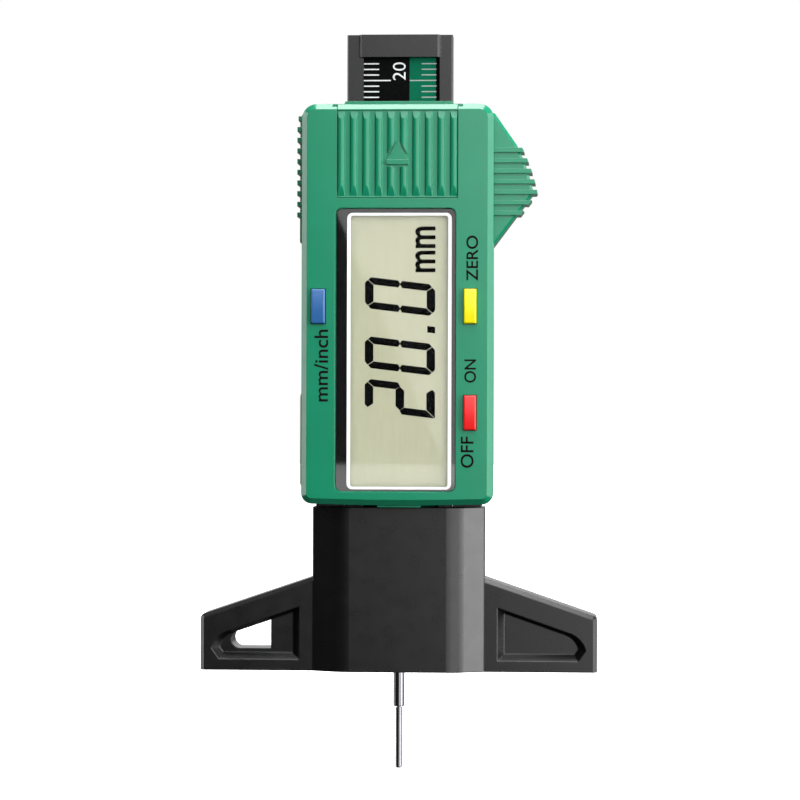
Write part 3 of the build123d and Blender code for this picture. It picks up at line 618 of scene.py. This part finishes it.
def rectangle_lamp(name, width, height, radiance):
    """A rectangular lamp of an even brightness, in metres, that the camera doesn't see."""
    data = bpy.data.lights.new(name, "AREA")
    data.shape = "RECTANGLE"
    data.size, data.size_y = width, height
    data.energy = radiance * math.pi * width * height
    lamp = bpy.data.objects.new(name, data)
    bpy.context.scene.collection.objects.link(lamp)
    lamp.visible_camera = False
    return lamp


def card_edge(lens_x, lens_z):
    """Where the sight line that is mirrored by the lens at a place meets the card's plane."""
    mirror = Vector((lens_x, box_mm("display_lens")[0].y, lens_z)) * MM
    onward = mirror - CAMERA_PLACE
    onward.y = -onward.y
    return mirror + onward * ((CARD_PLANE * MM - mirror.y) / onward.y)


def front_card():
    """Large bright card behind the camera, brighter away from its slanting edge."""
    upper, lower = card_edge(*EDGE_UPPER), card_edge(*EDGE_LOWER)
    along = (lower - upper).normalized()
    across = Vector((-along.z, 0, along.x))
    facing = Vector((0, -1, 0))
    turn = Matrix((across, facing.cross(across), facing)).transposed().to_4x4()
    for index, (start, end, radiance) in enumerate(CARD_BANDS):
        centre = (upper + lower) / 2 + across * (start + end) / 2 - along * CARD_RISE
        card = rectangle_lamp(f"front_card_{index}", end - start, CARD_LENGTH, radiance)
        card.matrix_world = Matrix.Translation(centre) @ turn


def add_lamps():
    front_card()
    for name, place, width, height, radiance in SOFTBOXES:
        aim(rectangle_lamp(name, width, height, radiance), Vector(place), LIT_PLACE)


def add_world():
    """White above the horizon behind the object, dim elsewhere, white where the camera sees it."""
    world = bpy.data.worlds.new("studio")
    bpy.context.scene.world = world
    world.use_nodes = True
    tree = world.node_tree
    background = tree.nodes["Background"]

    def ranged(source, from_low, from_high, to_low, to_high=1.0):
        node = tree.nodes.new("ShaderNodeMapRange")
        node.inputs["From Min"].default_value = from_low
        node.inputs["From Max"].default_value = from_high
        node.inputs["To Min"].default_value = to_low
        node.inputs["To Max"].default_value = to_high
        tree.links.new(source, node.inputs["Value"])
        return node.outputs["Result"]

    def combined(operation, first, second):
        node = tree.nodes.new("ShaderNodeMath")
        node.operation = operation
        tree.links.new(first, node.inputs[0])
        tree.links.new(second, node.inputs[1])
        return node.outputs[0]

    place = tree.nodes.new("ShaderNodeTexCoord")
    split = tree.nodes.new("ShaderNodeSeparateXYZ")
    path = tree.nodes.new("ShaderNodeLightPath")
    tree.links.new(place.outputs["Generated"], split.inputs[0])
    behind = ranged(split.outputs["Y"], -0.2, 0.6, 0.0)
    above = ranged(split.outputs["Z"], 0.02, 0.09, 0.15)
    glow = ranged(combined("MULTIPLY", behind, above), 0.0, 1.0, WORLD_DIM)
    strength = combined("MAXIMUM", glow, path.outputs["Is Camera Ray"])
    tree.links.new(strength, background.inputs["Strength"])
    background.inputs["Color"].default_value = (1, 1, 1, 1)


def add_floor():
    """A plain white disc under the probe's tip, brighter away from the object."""
    form = bmesh.new()
    bmesh.ops.create_circle(form, cap_ends=True, segments=96, radius=FLOOR_RADIUS)
    mesh = bpy.data.meshes.new("floor")
    form.to_mesh(mesh)
    form.free()
    floor = bpy.data.objects.new("floor", mesh)
    bpy.context.scene.collection.objects.link(floor)
    floor.location = (0, 0, cad_box[0].z - FLOOR_GAP)
    floor.visible_glossy = False
    floor.visible_diffuse = False
    shader = Shader("floor_paint", 0.9, Emission_Color=(1, 1, 1, 1))
    shader.colour(shader.blend(shader.ramp(shader.noise(400, 2), 0, 1), srgb(243, 243, 243),
                               srgb(247, 247, 247)))
    distance = shader.add("ShaderNodeVectorMath", operation="LENGTH")
    shader.link(shader.place, distance.inputs[0])
    glow = shader.add("ShaderNodeMapRange", clamp=True)
    glow.inputs["From Min"].default_value = 0.1
    glow.inputs["From Max"].default_value = 0.7
    glow.inputs["To Min"].default_value = 0.6
    glow.inputs["To Max"].default_value = 1.05
    shader.link(distance.outputs["Value"], glow.inputs["Value"])
    shader.link(glow.outputs["Result"], shader.surface.inputs["Emission Strength"])
    mesh.materials.append(shader.material)


def main():
    bpy.context.scene.view_settings.view_transform = "Standard"
    paint_nodes()
    display_print()
    lcd_marks()
    key_names()
    scale_marks()
    add_camera()
    add_lamps()
    add_world()
    add_floor()


main()
